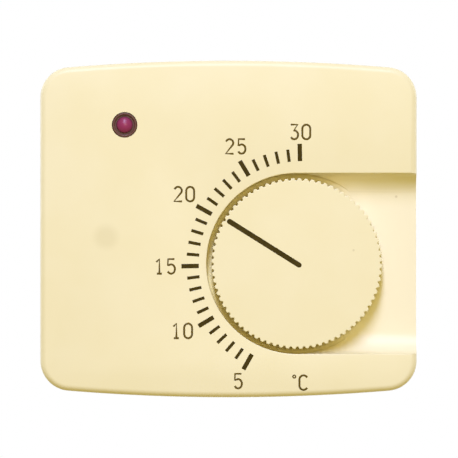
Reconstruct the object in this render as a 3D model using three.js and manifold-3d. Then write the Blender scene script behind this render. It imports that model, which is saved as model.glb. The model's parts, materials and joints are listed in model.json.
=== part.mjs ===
// A surface-mounted room thermostat: a moulded cover with a sunk temperature dial, a base plate that
// is screwed to the wall, and between them the cam, lever and bimetal switch that the dial sets.
// Millimetres. +X is right, +Z is up and +Y runs into the wall; the wall is the plane y = 0.
import * as THREE from "three";
import { mergeVertices } from "three/addons/utils/BufferGeometryUtils.js";
import Module from "manifold-3d";

const wasm = await Module();
wasm.setup();

// ---- Driving dimensions ----

// Cover
const plateWidth = 75;
const plateHeight = 67.1; // at the middle, between the bulged edges
const edgeBulge = 1.8; // how far the top and bottom edges bow out
const cornerRadius = 6;
const faceEdgeRadius = 1.2;
const caseDepth = 25.5;
const faceWall = 2;
const skirtWall = 1.8;
const coverFit = 0.3; // gap between the cover and what it slides over
const coverToWall = 0.5;

// Dial, its pocket and the finger recess beside it
const dialRadius = 17;
const knurlDepth = 0.5;
const knurlCount = 80;
const dialProud = 0.5; // how far the dial stands out of the face
const dialFaceWall = 1.6;
const dialSkirtWall = 1.7;
const pocketGap = 1; // ring of air round the dial
const pocketDepth = 4.5;
const pocketWall = 1.8;
const dialFloorGap = 0.5;
const dialToRightEdge = 23.9;
const dialDrop = 6.9; // dial axis below the plate's centre
const coveWidth = 4.2; // rounded walls along the finger recess
const pointerWidth = 1;
const pointerDepth = 0.3;
const pointerOverrun = 0.7; // the pointer starts a little beyond the centre
const pointerMargin = 0.7;

// Settings, in degrees of dial turn from where the dial rests
const pointerAngle = 57.9; // counter-clockwise from straight up
const turnToWarmest = 58;
const turnToCoolest = 92;
const leverTurnPerDialTurn = 0.03;

// Limit rings and their stop
const ringInner = 9;
const ringSplit = 11.8;
const ringOuter = 14.6;
const ringThickness = 0.8;
const ringGap = 0.4;
const stopHalfAngle = 5; // of the post and of each tab
const stopGapAngle = 1.5;
const stopHalfWidth = 1.1;

// Spindle and cam
const spindleRadius = 3;
const journalRadius = 2.5;
const runningClearance = 0.1;
const hubWall = 1.3;
const fit = 0.3; // gap between pieces that sit against each other
const camRestRadius = 7.7;
const camThickness = 3.4;
const bushWall = 1.6;
const bushLength = 4.8;

// Base plate
const baseThickness = 2;
const wallScrewSpacing = 60;
const wallScrewWidth = 4.2;
const wallScrewSlot = 7;
const cableOpeningWidth = 20;
const cableOpeningHeight = 10;
const bossWall = 1.6;
const hookWidth = 6;
const hookThickness = 1.3;
const hookNose = 1.4;
const hookCatch = 0.8; // how far the nose reaches over the cover's ledge
const ledgeReach = 0.9;
const ledgeThickness = 1.2;
const ledgeAboveBase = 3;
const hookSpacing = 40;

// Bimetal switch
const leverThickness = 1.5;
const leverArmWidth = 4.6;
const pivotRadius = 1.2;
const pivotTowerRadius = 3.5;
const stripThickness = 0.6;
const stripWidth = 7;
const stripLength = 40;
const stripToSide = 12.9; // from the inside of the cover, clear of the wall screw's head
const contactRadius = 1.8;
const contactGap = 1.5;
const contactHeight = 30; // above the strip's foot
const armatureHeight = 36.5;
const armatureSize = 6;
const magnetGap = 2.1;
const magnetThickness = 3;
const rivetRadius = 0.8;
const calibrationRadius = 1.25;
const springLeg = 7;
const springWireRadius = 0.3;

// Terminals
const terminalCount = 5;
const terminalPitch = 7;
const terminalWall = 1.4;
const terminalHeight = 10.5;
const terminalDepth = 11.2;
const terminalScrewRadius = 1.6;
const clampWall = 0.8;

// Indicator lamp and its board
const lampRadius = 2.55;
const lampFromSide = 16.8;
const lampFromTop = 12.8;
const lampDomeRadius = 1.55;
const boardWidth = 24;
const boardHeight = 12;
const boardThickness = 1.6;

// Cover screw
const screwShankRadius = 1.5;
const screwHeadRadius = 2.8;
const screwHeadHeight = 1.8;
const screwFromDialX = 9;
const screwFromDialZ = -9;

// Vents
const ventWidth = 1.6;
const ventPitch = 5;
const ventCount = 11;
const ventMargin = 5; // from the face and from the wall

// ---- Places worked out from the driving dimensions ----

const frontY = -caseDepth;
const faceBackY = frontY + faceWall;
const pocketFloorY = frontY + pocketDepth;
const pocketBackY = pocketFloorY + pocketWall;
const baseFrontY = -baseThickness;
const ledgeBackY = baseFrontY - ledgeAboveBase;
const pocketRadius = dialRadius + pocketGap;
const dialFaceY = frontY - dialProud;
const dialBackY = pocketFloorY - dialFloorGap;
const dialHollowY = dialFaceY + dialFaceWall;
const dialX = plateWidth / 2 - dialToRightEdge;
const dialZ = -dialDrop;
const innerHalfWidth = plateWidth / 2 - skirtWall - coverFit;
const innerTop = plateHeight / 2 - skirtWall - coverFit;
const lampX = -(plateWidth / 2 - lampFromSide);
const lampZ = plateHeight / 2 - lampFromTop;
const camBackY = pocketBackY + 7.4;
const camFrontY = camBackY - camThickness;
const camMiddleY = (camFrontY + camBackY) / 2;
const leverFrontY = camFrontY - fit - leverThickness;
const leverBackY = camFrontY - fit;
const pivotX = dialX - 21.6;
const pivotZ = dialZ - 15.1;
const stripX = -innerHalfWidth + stripToSide; // left face of the strip
const stripRightX = stripX + stripThickness;
const stripFootZ = pivotZ - 2;
const stripFrontY = camMiddleY - stripWidth / 2;
const stripBackY = camMiddleY + stripWidth / 2;
const contactZ = stripFootZ + contactHeight;
const armatureZ = stripFootZ + armatureHeight;
const terminalsWidth = terminalCount * terminalPitch;
const terminalsRightX = innerHalfWidth - 2.4;
const terminalsLeftX = terminalsRightX - terminalsWidth;
const terminalTopZ = innerTop - edgeBulge - 2.6;
const terminalBottomZ = terminalTopZ - terminalHeight;
const terminalBackY = baseFrontY - 1.3;
const terminalFrontY = terminalBackY - terminalDepth;
const boardBackY = baseFrontY - 1.8;
const boardFrontY = boardBackY - boardThickness;
const boardLeftX = -innerHalfWidth + 2.4;
const boardTopZ = innerTop - edgeBulge - 1.4;
const screwX = dialX + screwFromDialX;
const screwZ = dialZ + screwFromDialZ;
const stopRadius = ringSplit;
const limitRingFrontY = dialHollowY + 0.3;
const limitRingBackY = limitRingFrontY + ringThickness;
const tabFrontY = limitRingBackY + 0.3;
const tabBackY = dialBackY - 0.1;

// ---- Solids ----

// Turns a closed geometry into a solid with its faces outwards.
function solidOf(geometry) {
  const loose = geometry.index ? geometry.toNonIndexed() : geometry;
  const bare = new THREE.BufferGeometry();
  bare.setAttribute("position", loose.getAttribute("position"));
  const merged = mergeVertices(bare, 1e-4);
  const triVerts = new Uint32Array(merged.index.array);
  const vertProperties = merged.attributes.position.array;
  const made = new wasm.Manifold(new wasm.Mesh({ numProp: 3, vertProperties, triVerts }));
  if (made.volume() > 0) {
    return made;
  }
  triVerts.reverse();
  return new wasm.Manifold(new wasm.Mesh({ numProp: 3, vertProperties, triVerts }));
}

function join(first, ...others) {
  return others.reduce((whole, other) => whole.add(other), first);
}

function cut(first, ...others) {
  return others.reduce((whole, other) => whole.subtract(other), first);
}

function box(x0, x1, y0, y1, z0, z1) {
  const geometry = new THREE.BoxGeometry(x1 - x0, y1 - y0, z1 - z0);
  geometry.translate((x0 + x1) / 2, (y0 + y1) / 2, (z0 + z1) / 2);
  return solidOf(geometry);
}

// An outline in x and z, extruded from the front depth y0 to the back depth y1.
function slab(shape, y0, y1, curveSegments = 5) {
  const options = { depth: y1 - y0, bevelEnabled: false, curveSegments };
  const geometry = new THREE.ExtrudeGeometry(shape, options);
  geometry.rotateX(Math.PI / 2);
  geometry.translate(0, y1, 0);
  return solidOf(geometry);
}

// An outline in y and z, extruded along x.
function rail(shape, x0, x1, curveSegments = 4) {
  const options = { depth: x1 - x0, bevelEnabled: false, curveSegments };
  const geometry = new THREE.ExtrudeGeometry(shape, options);
  geometry.applyMatrix4(new THREE.Matrix4().set(0, 0, 1, x0, 1, 0, 0, 0, 0, 1, 0, 0, 0, 0, 0, 1));
  return solidOf(geometry);
}

// A profile of [radius, y] points turned about an axis along Y at (x, z).
function turned(profile, x = 0, z = 0, segments = 24) {
  const points = profile.map(([radius, y]) => new THREE.Vector2(radius, y));
  const geometry = new THREE.LatheGeometry(points, segments);
  geometry.translate(x, 0, z);
  return solidOf(geometry);
}

function disc(radius, y0, y1, x = 0, z = 0, segments = 24) {
  return turned([[0, y0], [radius, y0], [radius, y1], [0, y1]], x, z, segments);
}

// A profile of [radius, x] points turned about an axis along X at (y, z).
function turnedAcross(profile, y, z, segments = 12) {
  const points = profile.map(([radius, along]) => new THREE.Vector2(radius, along));
  const geometry = new THREE.LatheGeometry(points, segments);
  geometry.rotateZ(-Math.PI / 2);
  geometry.translate(0, y, z);
  return solidOf(geometry);
}

// A bar with round ends between two points in x and z.
function bar(xa, za, xb, zb, width, y0, y1) {
  const angle = Math.atan2(zb - za, xb - xa);
  const shape = new THREE.Shape();
  shape.absarc(xb, zb, width / 2, angle - Math.PI / 2, angle + Math.PI / 2, false);
  shape.absarc(xa, za, width / 2, angle + Math.PI / 2, angle + Math.PI * 1.5, false);
  shape.closePath();
  return slab(shape, y0, y1, 4);
}

// A part of a flat ring between two polar angles in degrees, counter-clockwise from straight up.
function sector(r0, r1, fromAngle, toAngle, y0, y1, x = 0, z = 0) {
  const from = THREE.MathUtils.degToRad(fromAngle + 90);
  const to = THREE.MathUtils.degToRad(toAngle + 90);
  const shape = new THREE.Shape();
  shape.absarc(x, z, r1, from, to, false);
  shape.absarc(x, z, r0, to, from, true);
  shape.closePath();
  return slab(shape, y0, y1);
}

function ring(r0, r1, y0, y1, x = 0, z = 0, segments = 24) {
  return turned([[r0, y0], [r1, y0], [r1, y1], [r0, y1], [r0, y0]], x, z, segments);
}

// A round wire along a curve.
function wire(curve, radius, steps, sides = 8) {
  const section = new THREE.Shape();
  section.absarc(0, 0, radius, 0, Math.PI * 2, false);
  const options = { steps, extrudePath: curve, curveSegments: sides / 2 };
  return solidOf(new THREE.ExtrudeGeometry(section, options));
}

// The plate's outline, set in by an amount: straight sides, bowed top and bottom, round corners.
function plateOutline(inset) {
  const bowRadius = plateWidth ** 2 / (8 * edgeBulge) + edgeBulge / 2;
  const bowCentre = plateHeight / 2 - bowRadius;
  const halfWidth = plateWidth / 2 - inset;
  const bow = bowRadius - inset;
  const corner = cornerRadius - inset;
  const cornerX = halfWidth - corner;
  const cornerZ = bowCentre + Math.sqrt((bow - corner) ** 2 - cornerX ** 2);
  const lean = Math.atan2(cornerZ - bowCentre, cornerX);
  const half = Math.PI;
  const shape = new THREE.Shape();
  shape.absarc(cornerX, cornerZ, corner, 0, lean, false);
  shape.absarc(0, bowCentre, bow, lean, half - lean, false);
  shape.absarc(-cornerX, cornerZ, corner, half - lean, half, false);
  shape.absarc(-cornerX, -cornerZ, corner, half, half + lean, false);
  shape.absarc(0, -bowCentre, bow, half + lean, 2 * half - lean, false);
  shape.absarc(cornerX, -cornerZ, corner, -lean, 0, false);
  shape.closePath();
  return shape;
}

// The finger recess, from the dial's axis out through the right edge: a flat floor between two
// coved walls. Thickened, it is the wall round the recess instead.
function fingerRecess(thicker) {
  const open = frontY - 1;
  const low = dialZ - pocketRadius + coveWidth;
  const high = dialZ + pocketRadius - coveWidth;
  const across = coveWidth + thicker;
  const deep = pocketDepth + thicker;
  const shape = new THREE.Shape();
  shape.moveTo(open, low - across);
  shape.lineTo(frontY, low - across);
  shape.absellipse(frontY, low, deep, across, -Math.PI / 2, 0, false);
  shape.lineTo(frontY + deep, high);
  shape.absellipse(frontY, high, deep, across, 0, Math.PI / 2, false);
  shape.lineTo(open, high + across);
  shape.closePath();
  return rail(shape, dialX, dialX + plateWidth);
}

// A machine screw along Y with its slotted head at the front.
function screw(headRadius, headHeight, shankRadius, headY, tipY) {
  const underHead = headY + headHeight;
  const profile = [
    [0, headY],
    [headRadius - 0.2, headY],
    [headRadius, headY + 0.2],
    [headRadius, underHead],
    [shankRadius, underHead],
    [shankRadius, tipY - 0.5],
    [shankRadius - 0.4, tipY],
    [0, tipY],
  ];
  const slotDepth = headHeight / 2;
  const slot = box(-headRadius - 1, headRadius + 1, headY - 1, headY + slotDepth, -0.3, 0.3);
  return cut(turned(profile, 0, 0, 12), slot);
}

// ---- Materials ----

function material(color, roughness, metalness = 0) {
  return new THREE.MeshStandardMaterial({ color, roughness, metalness });
}

const ivory = () => material(0xf4ead0, 0.45);
const basePlastic = () => material(0xe6dfc9, 0.55);
const brass = () => material(0xc9a24e, 0.3, 1);
const steel = () => material(0xb9bcc0, 0.35, 1);

// ---- The assembly ----

const thermostat = new THREE.Group();
const casing = new THREE.Group();
const dial = new THREE.Group();
const lever = new THREE.Group();
dial.position.set(dialX, 0, dialZ);
lever.position.set(pivotX, 0, pivotZ);
thermostat.add(casing, dial, lever);

// Adds one named piece to a group of the assembly.
function addPiece(group, name, skin, solid, x = 0, y = 0, z = 0) {
  const { vertProperties, triVerts } = solid.getMesh();
  const geometry = new THREE.BufferGeometry();
  geometry.setAttribute("position", new THREE.BufferAttribute(new Float32Array(vertProperties), 3));
  geometry.setIndex(new THREE.BufferAttribute(new Uint32Array(triVerts), 1));
  geometry.computeVertexNormals();
  const mesh = new THREE.Mesh(geometry, skin);
  mesh.name = name;
  mesh.position.set(x, y, z);
  group.add(mesh);
  return mesh;
}

// ---- Cover ----

function coverShell() {
  const options = {
    depth: caseDepth,
    bevelThickness: faceEdgeRadius,
    bevelSize: faceEdgeRadius,
    bevelOffset: -faceEdgeRadius,
    bevelSegments: 3,
    curveSegments: 5,
  };
  const geometry = new THREE.ExtrudeGeometry(plateOutline(0), options);
  geometry.rotateX(Math.PI / 2);
  geometry.translate(0, frontY + faceEdgeRadius + caseDepth, 0);
  const far = plateWidth + plateHeight;
  const behind = box(-far, far, -coverToWall, far, -far, far);
  return cut(solidOf(geometry), behind);
}

function coverHollow() {
  const inside = slab(plateOutline(skirtWall), faceBackY, 1);
  const pocketShell = disc(pocketRadius + pocketWall, frontY - 1, pocketBackY, dialX, dialZ, 48);
  return cut(inside, pocketShell, fingerRecess(pocketWall));
}

function vents() {
  const slots = [];
  const firstX = -((ventCount - 1) / 2) * ventPitch;
  for (let i = 0; i < ventCount; i++) {
    const x = firstX + i * ventPitch;
    const y0 = frontY + ventMargin;
    const half = ventWidth / 2;
    slots.push(box(x - half, x + half, y0, -ventMargin, -plateHeight, plateHeight));
  }
  return slots;
}

// How far from the middle the inside of the bowed skirt is, at x.
function skirtInsideZ(x) {
  const sag = edgeBulge * (x / (plateWidth / 2)) ** 2;
  return plateHeight / 2 - sag - skirtWall;
}

// A block between two distances from the middle, on the upper side (1) or the lower side (-1).
function sideBox(x0, x1, y0, y1, nearZ, farZ, side) {
  const ends = [side * nearZ, side * farZ];
  return box(x0, x1, y0, y1, Math.min(...ends), Math.max(...ends));
}

// Ledges inside the skirt that the base plate's hooks hold.
function coverLedge(x, side) {
  const skirtZ = skirtInsideZ(x);
  const half = hookWidth / 2;
  const front = ledgeBackY - ledgeThickness;
  return sideBox(x - half, x + half, front, ledgeBackY, skirtZ - ledgeReach, skirtZ + 0.6, side);
}

function frontCover() {
  const pocket = disc(pocketRadius, frontY - 2, pocketFloorY, dialX, dialZ, 48);
  const spindleHole = disc(spindleRadius + 0.6, pocketFloorY - 1, pocketBackY + 1, dialX, dialZ);
  const stop = sector(
    stopRadius - stopHalfWidth,
    stopRadius + stopHalfWidth,
    -stopHalfAngle,
    stopHalfAngle,
    tabFrontY + fit,
    pocketFloorY + 0.5,
    dialX,
    dialZ,
  );
  const screwBoss = disc(screwHeadRadius + bossWall, pocketFloorY + 0.5, pocketBackY + 3, screwX, screwZ);
  const counterbore = disc(
    screwHeadRadius + fit,
    pocketFloorY - 1,
    pocketFloorY + screwHeadHeight + 0.4,
    screwX,
    screwZ,
  );
  const screwHole = disc(screwShankRadius + fit, pocketFloorY - 1, pocketBackY + 9, screwX, screwZ);
  const lampSleeve = disc(lampRadius + 0.9, faceBackY - 0.5, faceBackY + 5, lampX, lampZ);
  const lampHole = disc(lampRadius, frontY - 1, faceBackY + 6, lampX, lampZ);
  const supportPin = disc(1.6, faceBackY - 0.5, faceBackY + 3.5, stripX - 1.9, -1.6, 16);
  const ledges = [-1, 1].flatMap((side) => [
    coverLedge(-hookSpacing / 2, side),
    coverLedge(hookSpacing / 2, side),
  ]);
  const closed = join(cut(coverShell(), coverHollow()), screwBoss, lampSleeve, supportPin, ...ledges);
  const opened = cut(closed, pocket, fingerRecess(0), spindleHole, counterbore, screwHole, lampHole, ...vents());
  return join(opened, stop);
}

addPiece(casing, "front_cover", ivory(), frontCover());

addPiece(
  casing,
  "cover_screw",
  steel(),
  screw(screwHeadRadius, screwHeadHeight, screwShankRadius, pocketFloorY + 0.1, baseFrontY - 6),
  screwX,
  0,
  screwZ,
);

// ---- Base plate ----

function stadium(x, z, length, width, y0, y1) {
  const reach = (length - width) / 2;
  return bar(x - reach, z, x + reach, z, width, y0, y1);
}

// A hook that stands on the base plate and catches a ledge of the cover.
function baseHook(x, side) {
  const outer = skirtInsideZ(x) - ledgeReach - fit;
  const inner = outer - hookThickness;
  const half = hookWidth / 2;
  const noseBack = ledgeBackY - ledgeThickness - fit;
  const tip = noseBack - hookNose;
  const stem = sideBox(x - half, x + half, tip, baseFrontY + 0.5, inner, outer, side);
  const nose = sideBox(x - half, x + half, tip, noseBack, inner, outer + hookCatch, side);
  return join(stem, nose);
}

function basePlate() {
  const plate = slab(plateOutline(skirtWall + coverFit), baseFrontY, 0);
  const slots = [-1, 1].map((side) =>
    stadium((side * wallScrewSpacing) / 2, 0, wallScrewSlot, wallScrewWidth, -baseThickness - 1, 1),
  );
  const openingX = dialX + 2.4;
  const openingTop = terminalBottomZ - 2.5;
  const cableOpening = box(
    openingX - cableOpeningWidth / 2,
    openingX + cableOpeningWidth / 2,
    -baseThickness - 1,
    1,
    openingTop - cableOpeningHeight,
    openingTop,
  );
  const screwTower = disc(screwShankRadius + fit + bossWall, pocketBackY + 3 + fit, -1, screwX, screwZ);
  const screwBore = disc(screwShankRadius + fit, pocketBackY, baseFrontY - 5, screwX, screwZ);
  const pivotTower = disc(pivotTowerRadius, leverBackY + fit, -1, pivotX, pivotZ);
  const pivotBore = disc(pivotRadius + fit, leverBackY, baseFrontY - 3, pivotX, pivotZ);
  const bushOuter = journalRadius + runningClearance + bushWall;
  const bushSeat = disc(bushOuter + fit + bossWall, baseFrontY - bushLength - 0.5, -1, dialX, dialZ);
  const bushBore = disc(bushOuter + fit, baseFrontY - bushLength - 1, baseFrontY, dialX, dialZ);
  const blockPads = [0.5, terminalCount - 0.5].map((n) => {
    const x = terminalsLeftX + n * terminalPitch;
    return box(x - 2, x + 2, terminalBackY + fit, -1, terminalBottomZ + 2, terminalTopZ - 2);
  });
  const boardPads = boardScrewPlaces().map(([x, z]) => {
    const pad = disc(2.2, boardBackY + fit, -1, x, z, 16);
    return cut(pad, disc(1.1, boardBackY - 1, baseFrontY + 0.6, x, z, 16));
  });
  const hooks = [-1, 1].flatMap((side) => [
    baseHook(-hookSpacing / 2, side),
    baseHook(hookSpacing / 2, side),
  ]);
  const standing = join(plate, screwTower, pivotTower, bushSeat, ...blockPads, ...boardPads, ...hooks);
  return cut(standing, screwBore, pivotBore, bushBore, cableOpening, ...slots);
}

function boardScrewPlaces() {
  const inset = 3;
  return [
    [boardLeftX + inset, boardTopZ - boardHeight + inset],
    [boardLeftX + boardWidth - inset, boardTopZ - inset],
  ];
}

addPiece(casing, "base_plate", basePlastic(), basePlate());

// ---- Indicator lamp ----

function indicatorLens() {
  const rodRadius = lampRadius - fit;
  const shoulderY = frontY + 0.5;
  const backY = boardFrontY - 7.5;
  const profile = [[0, frontY - 0.4]];
  for (let i = 1; i <= 5; i++) {
    const angle = (i / 5) * (Math.PI / 2);
    profile.push([lampDomeRadius * Math.sin(angle), frontY + 0.3 - 0.7 * Math.cos(angle)]);
  }
  profile.push([lampDomeRadius, shoulderY], [rodRadius, shoulderY], [rodRadius, faceBackY + 5.3]);
  profile.push([rodRadius + 0.8, faceBackY + 5.3], [rodRadius + 0.8, faceBackY + 6.3]);
  profile.push([rodRadius, faceBackY + 6.3], [rodRadius, backY], [0, backY]);
  return turned(profile, 0, 0, 24);
}

function indicatorLed() {
  const backY = boardFrontY - fit;
  const tipY = boardFrontY - 7.2;
  const profile = [[0, tipY], [1.2, tipY + 0.4], [1.9, tipY + 1.4], [2, backY - 1], [2.4, backY - 1]];
  profile.push([2.4, backY], [0, backY]);
  return turned(profile, 0, 0, 20);
}

addPiece(casing, "indicator_lens", material(0xa5406a, 0.2), indicatorLens(), lampX, 0, lampZ);
addPiece(casing, "indicator_led", material(0xd23b3b, 0.25), indicatorLed(), lampX, 0, lampZ);

function circuitBoard() {
  const bottom = boardTopZ - boardHeight;
  const right = boardLeftX + boardWidth;
  const board = box(boardLeftX, right, boardFrontY, boardBackY, bottom, boardTopZ);
  const holes = boardScrewPlaces().map(([x, z]) => disc(1.3, boardFrontY - 1, boardBackY + 1, x, z, 16));
  const notch = box(boardLeftX - 1, boardLeftX + 2, boardFrontY - 1, boardBackY + 1, boardTopZ - 2, boardTopZ + 1);
  return cut(board, notch, ...holes);
}

addPiece(casing, "circuit_board", material(0x2f6b3c, 0.5), circuitBoard());

boardScrewPlaces().forEach(([x, z], i) => {
  const solid = screw(1.9, 1.2, 0.8, boardFrontY - fit - 1.2, baseFrontY - fit);
  addPiece(casing, "board_screw_" + (i + 1), steel(), solid, x, 0, z);
});

// A round component lying on the board with a lead bent down at each end.
function boardComponent(radius, length) {
  const midY = boardFrontY - fit - 0.3 - radius;
  const body = turnedAcross(
    [[0, -length / 2], [radius, -length / 2], [radius, length / 2], [0, length / 2]],
    midY,
    0,
  );
  const leads = [-1, 1].map((side) => {
    const inner = side * (length / 2 - 0.5);
    const outer = side * (length / 2 + 1);
    const along = box(Math.min(inner, outer), Math.max(inner, outer), midY - 0.25, midY + 0.25, -0.25, 0.25);
    const down = box(outer - 0.25, outer + 0.25, midY - 0.25, boardFrontY - fit, -0.25, 0.25);
    return join(along, down);
  });
  return join(body, ...leads);
}

const componentZ = boardTopZ - boardHeight / 2;
addPiece(
  casing,
  "series_resistor",
  material(0xb08a5a, 0.5),
  boardComponent(1.2, 5),
  boardLeftX + boardWidth - 5.9,
  0,
  componentZ - 4,
);
addPiece(
  casing,
  "rectifier_diode",
  material(0x2a2a2c, 0.4),
  boardComponent(1, 4.4),
  boardLeftX + 4.6,
  0,
  componentZ + 1.6,
);

// ---- Terminals ----

function terminalX(i) {
  return terminalsLeftX + (i + 0.5) * terminalPitch;
}

const cavityHalf = (terminalPitch - terminalWall) / 2;
const clampFrontY = terminalBackY - 7.6;
const clampBackY = terminalBackY - 1.3;
const clampBottomZ = terminalBottomZ + 1.2;
const clampTopZ = terminalTopZ - 1.6;
const clampMiddleZ = (clampBottomZ + clampTopZ) / 2;

function terminalBlock() {
  const block = box(
    terminalsLeftX,
    terminalsRightX,
    terminalFrontY,
    terminalBackY,
    terminalBottomZ,
    terminalTopZ,
  );
  const openings = [];
  for (let i = 0; i < terminalCount; i++) {
    const x = terminalX(i);
    const low = x - cavityHalf;
    const high = x + cavityHalf;
    const backY = clampBackY + fit;
    const topZ = clampTopZ + fit;
    openings.push(box(low, high, clampFrontY - fit, backY, terminalBottomZ - 1, topZ));
    openings.push(disc(terminalScrewRadius + fit, terminalFrontY - 1, clampFrontY, x, clampMiddleZ, 12));
  }
  return cut(block, ...openings);
}

addPiece(casing, "terminal_block", material(0xd9d4c4, 0.5), terminalBlock());

// A brass cage that the wire goes into from below and the screw closes from the front.
function terminalClamp() {
  const half = cavityHalf - fit;
  const cage = box(-half, half, clampFrontY, clampBackY, clampBottomZ, clampTopZ);
  const inner = half - clampWall;
  const hollow = box(
    -inner,
    inner,
    clampFrontY + clampWall,
    clampBackY - clampWall,
    clampBottomZ - 1,
    clampTopZ + 1,
  );
  const tapped = disc(terminalScrewRadius + fit, clampFrontY - 1, clampFrontY + clampWall + 1, 0, clampMiddleZ, 12);
  return cut(cage, hollow, tapped);
}

for (let i = 0; i < terminalCount; i++) {
  const number = i + 1;
  const turnedScrew = screw(terminalScrewRadius, 1, terminalScrewRadius - 0.3, terminalFrontY + 0.8, clampFrontY + 2);
  addPiece(casing, "terminal_clamp_" + number, brass(), terminalClamp(), terminalX(i), 0, 0);
  addPiece(casing, "terminal_screw_" + number, steel(), turnedScrew, terminalX(i), 0, clampMiddleZ);
}

// ---- Conductors on the base plate ----

const stripConductorFront = baseFrontY - 1.1;
const stripConductorBack = baseFrontY - fit;
const conductorWidth = 2.2;
const feedBesideBracket = 13.1; // clear of the contact bracket and its conductor

function conductor(places, width) {
  const bars = places.slice(1).map(([x, z], i) => {
    const [fromX, fromZ] = places[i];
    return bar(fromX, fromZ, x, z, width, stripConductorFront, stripConductorBack);
  });
  return join(...bars);
}

const bracketFaceX = stripRightX + fit + 1.2 + contactGap + 0.8 + fit;
const bracketX = bracketFaceX + 1.2;
const contactConductor = [
  [terminalsLeftX - 2.6, terminalBottomZ + 2],
  [bracketX + 8.6, contactZ + 6],
  [bracketX + 8, contactZ],
];
const feedConductor = [
  [terminalX(0) - 1.5, terminalBottomZ - 1.6],
  [bracketX + feedBesideBracket, contactZ],
  [pivotX + 1.2, pivotZ + pivotTowerRadius + 1.6],
];
addPiece(casing, "contact_conductor", brass(), conductor(contactConductor, conductorWidth));
addPiece(casing, "feed_conductor", brass(), conductor(feedConductor, conductorWidth));

// ---- Fixed contact and magnet ----

function contactBracket() {
  const upright = box(
    bracketFaceX,
    bracketX,
    stripFrontY + 0.5,
    baseFrontY - 0.6,
    contactZ - 3,
    contactZ + 3,
  );
  const foot = box(bracketFaceX, bracketX + 6, baseFrontY - 1.8, baseFrontY - 0.6, contactZ - 3, contactZ + 3);
  const contactHole = turnedAcross(
    [[0, bracketFaceX - 1], [1, bracketFaceX - 1], [1, bracketX + 1], [0, bracketX + 1]],
    camMiddleY,
    contactZ,
  );
  const screwHole = disc(1.5, baseFrontY - 3, baseFrontY + 1, bracketX + 3.2, contactZ, 16);
  return cut(join(upright, foot), contactHole, screwHole);
}

// A contact rivet: a broad face, a shank through its carrier and a small head behind.
function contactRivet(faceX, carrierX, carrierThickness) {
  const away = Math.sign(carrierX - faceX);
  const seat = carrierX - away * fit;
  const far = carrierX + away * (carrierThickness + fit);
  const profile = [
    [0, faceX],
    [contactRadius - 0.3, faceX],
    [contactRadius, faceX + away * 0.3],
    [contactRadius, seat],
    [0.7, seat],
    [0.7, far],
    [1.3, far],
    [1.3, far + away * 0.5],
    [0, far + away * 0.5],
  ];
  return turnedAcross(profile, camMiddleY, contactZ, 12);
}

addPiece(casing, "contact_bracket", brass(), contactBracket());
const fixedFaceX = bracketFaceX - fit - 0.8;
addPiece(casing, "fixed_contact", material(0xd8d8da, 0.25, 1), contactRivet(fixedFaceX, bracketFaceX, 1.2));
addPiece(
  casing,
  "bracket_screw",
  steel(),
  screw(2.2, 1.3, 1.2, baseFrontY - 1.8 - fit - 1.3, baseFrontY - 0.3),
  bracketX + 3.2,
  0,
  contactZ,
);

const armatureX = stripRightX + fit;
const armatureThickness = 1;
const magnetX = armatureX + armatureThickness + magnetGap;
const holderX = magnetX + magnetThickness + fit;
const armatureHalf = armatureSize / 2;

addPiece(
  casing,
  "magnet",
  material(0x4a4a4e, 0.4, 0.6),
  box(
    magnetX,
    magnetX + magnetThickness,
    camMiddleY - armatureHalf,
    camMiddleY + armatureHalf,
    armatureZ - armatureHalf,
    armatureZ + armatureHalf,
  ),
);

function magnetHolder() {
  const upright = box(
    holderX,
    holderX + 1.6,
    camMiddleY - armatureHalf - 0.8,
    baseFrontY - fit,
    armatureZ - armatureHalf,
    armatureZ + armatureHalf,
  );
  const foot = box(
    holderX,
    holderX + 5,
    baseFrontY - fit - 1.4,
    baseFrontY - fit,
    armatureZ - armatureHalf,
    armatureZ + armatureHalf - 2,
  );
  const hole = turnedAcross(
    [[0, holderX - 1], [1.3, holderX - 1], [1.3, holderX + 3], [0, holderX + 3]],
    camMiddleY,
    armatureZ,
  );
  return cut(join(upright, foot), hole);
}

addPiece(casing, "magnet_holder", material(0x3a3a3c, 0.55), magnetHolder());

// Sets how far the magnet stands from the armature.
function differentialScrew() {
  const tip = holderX;
  const headX = holderX + 4.2;
  const body = turnedAcross(
    [[0, tip], [1, tip], [1, headX], [1.9, headX], [1.9, headX + 1.6], [0, headX + 1.6]],
    camMiddleY,
    armatureZ,
  );
  const slot = box(headX + 0.8, headX + 3, camMiddleY - 3, camMiddleY + 3, armatureZ - 0.3, armatureZ + 0.3);
  return cut(body, slot);
}

addPiece(casing, "differential_screw", brass(), differentialScrew());

// ---- Heater resistor beside the bimetal ----

function heaterResistor() {
  const length = 10;
  const radius = 1.4;
  const midY = camMiddleY;
  const body = new THREE.CylinderGeometry(radius, radius, length, 16);
  body.rotateX(Math.PI / 2);
  body.translate(0, midY, 0);
  const leads = [-1, 1].map((side) => {
    const z = side * (length / 2 + 1);
    const inner = side * (length / 2 - 0.6);
    const along = box(-0.3, 0.3, midY - 0.3, midY + 0.3, Math.min(inner, z), Math.max(inner, z));
    const down = box(-0.3, 0.3, midY - 0.3, baseFrontY - fit, z - 0.3, z + 0.3);
    return join(along, down);
  });
  return join(solidOf(body), ...leads);
}

addPiece(
  casing,
  "heater_resistor",
  material(0x7f8c6a, 0.5),
  heaterResistor(),
  stripX + 5,
  0,
  stripFootZ + 18,
);

// ---- Wires from the terminals to the board ----

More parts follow.
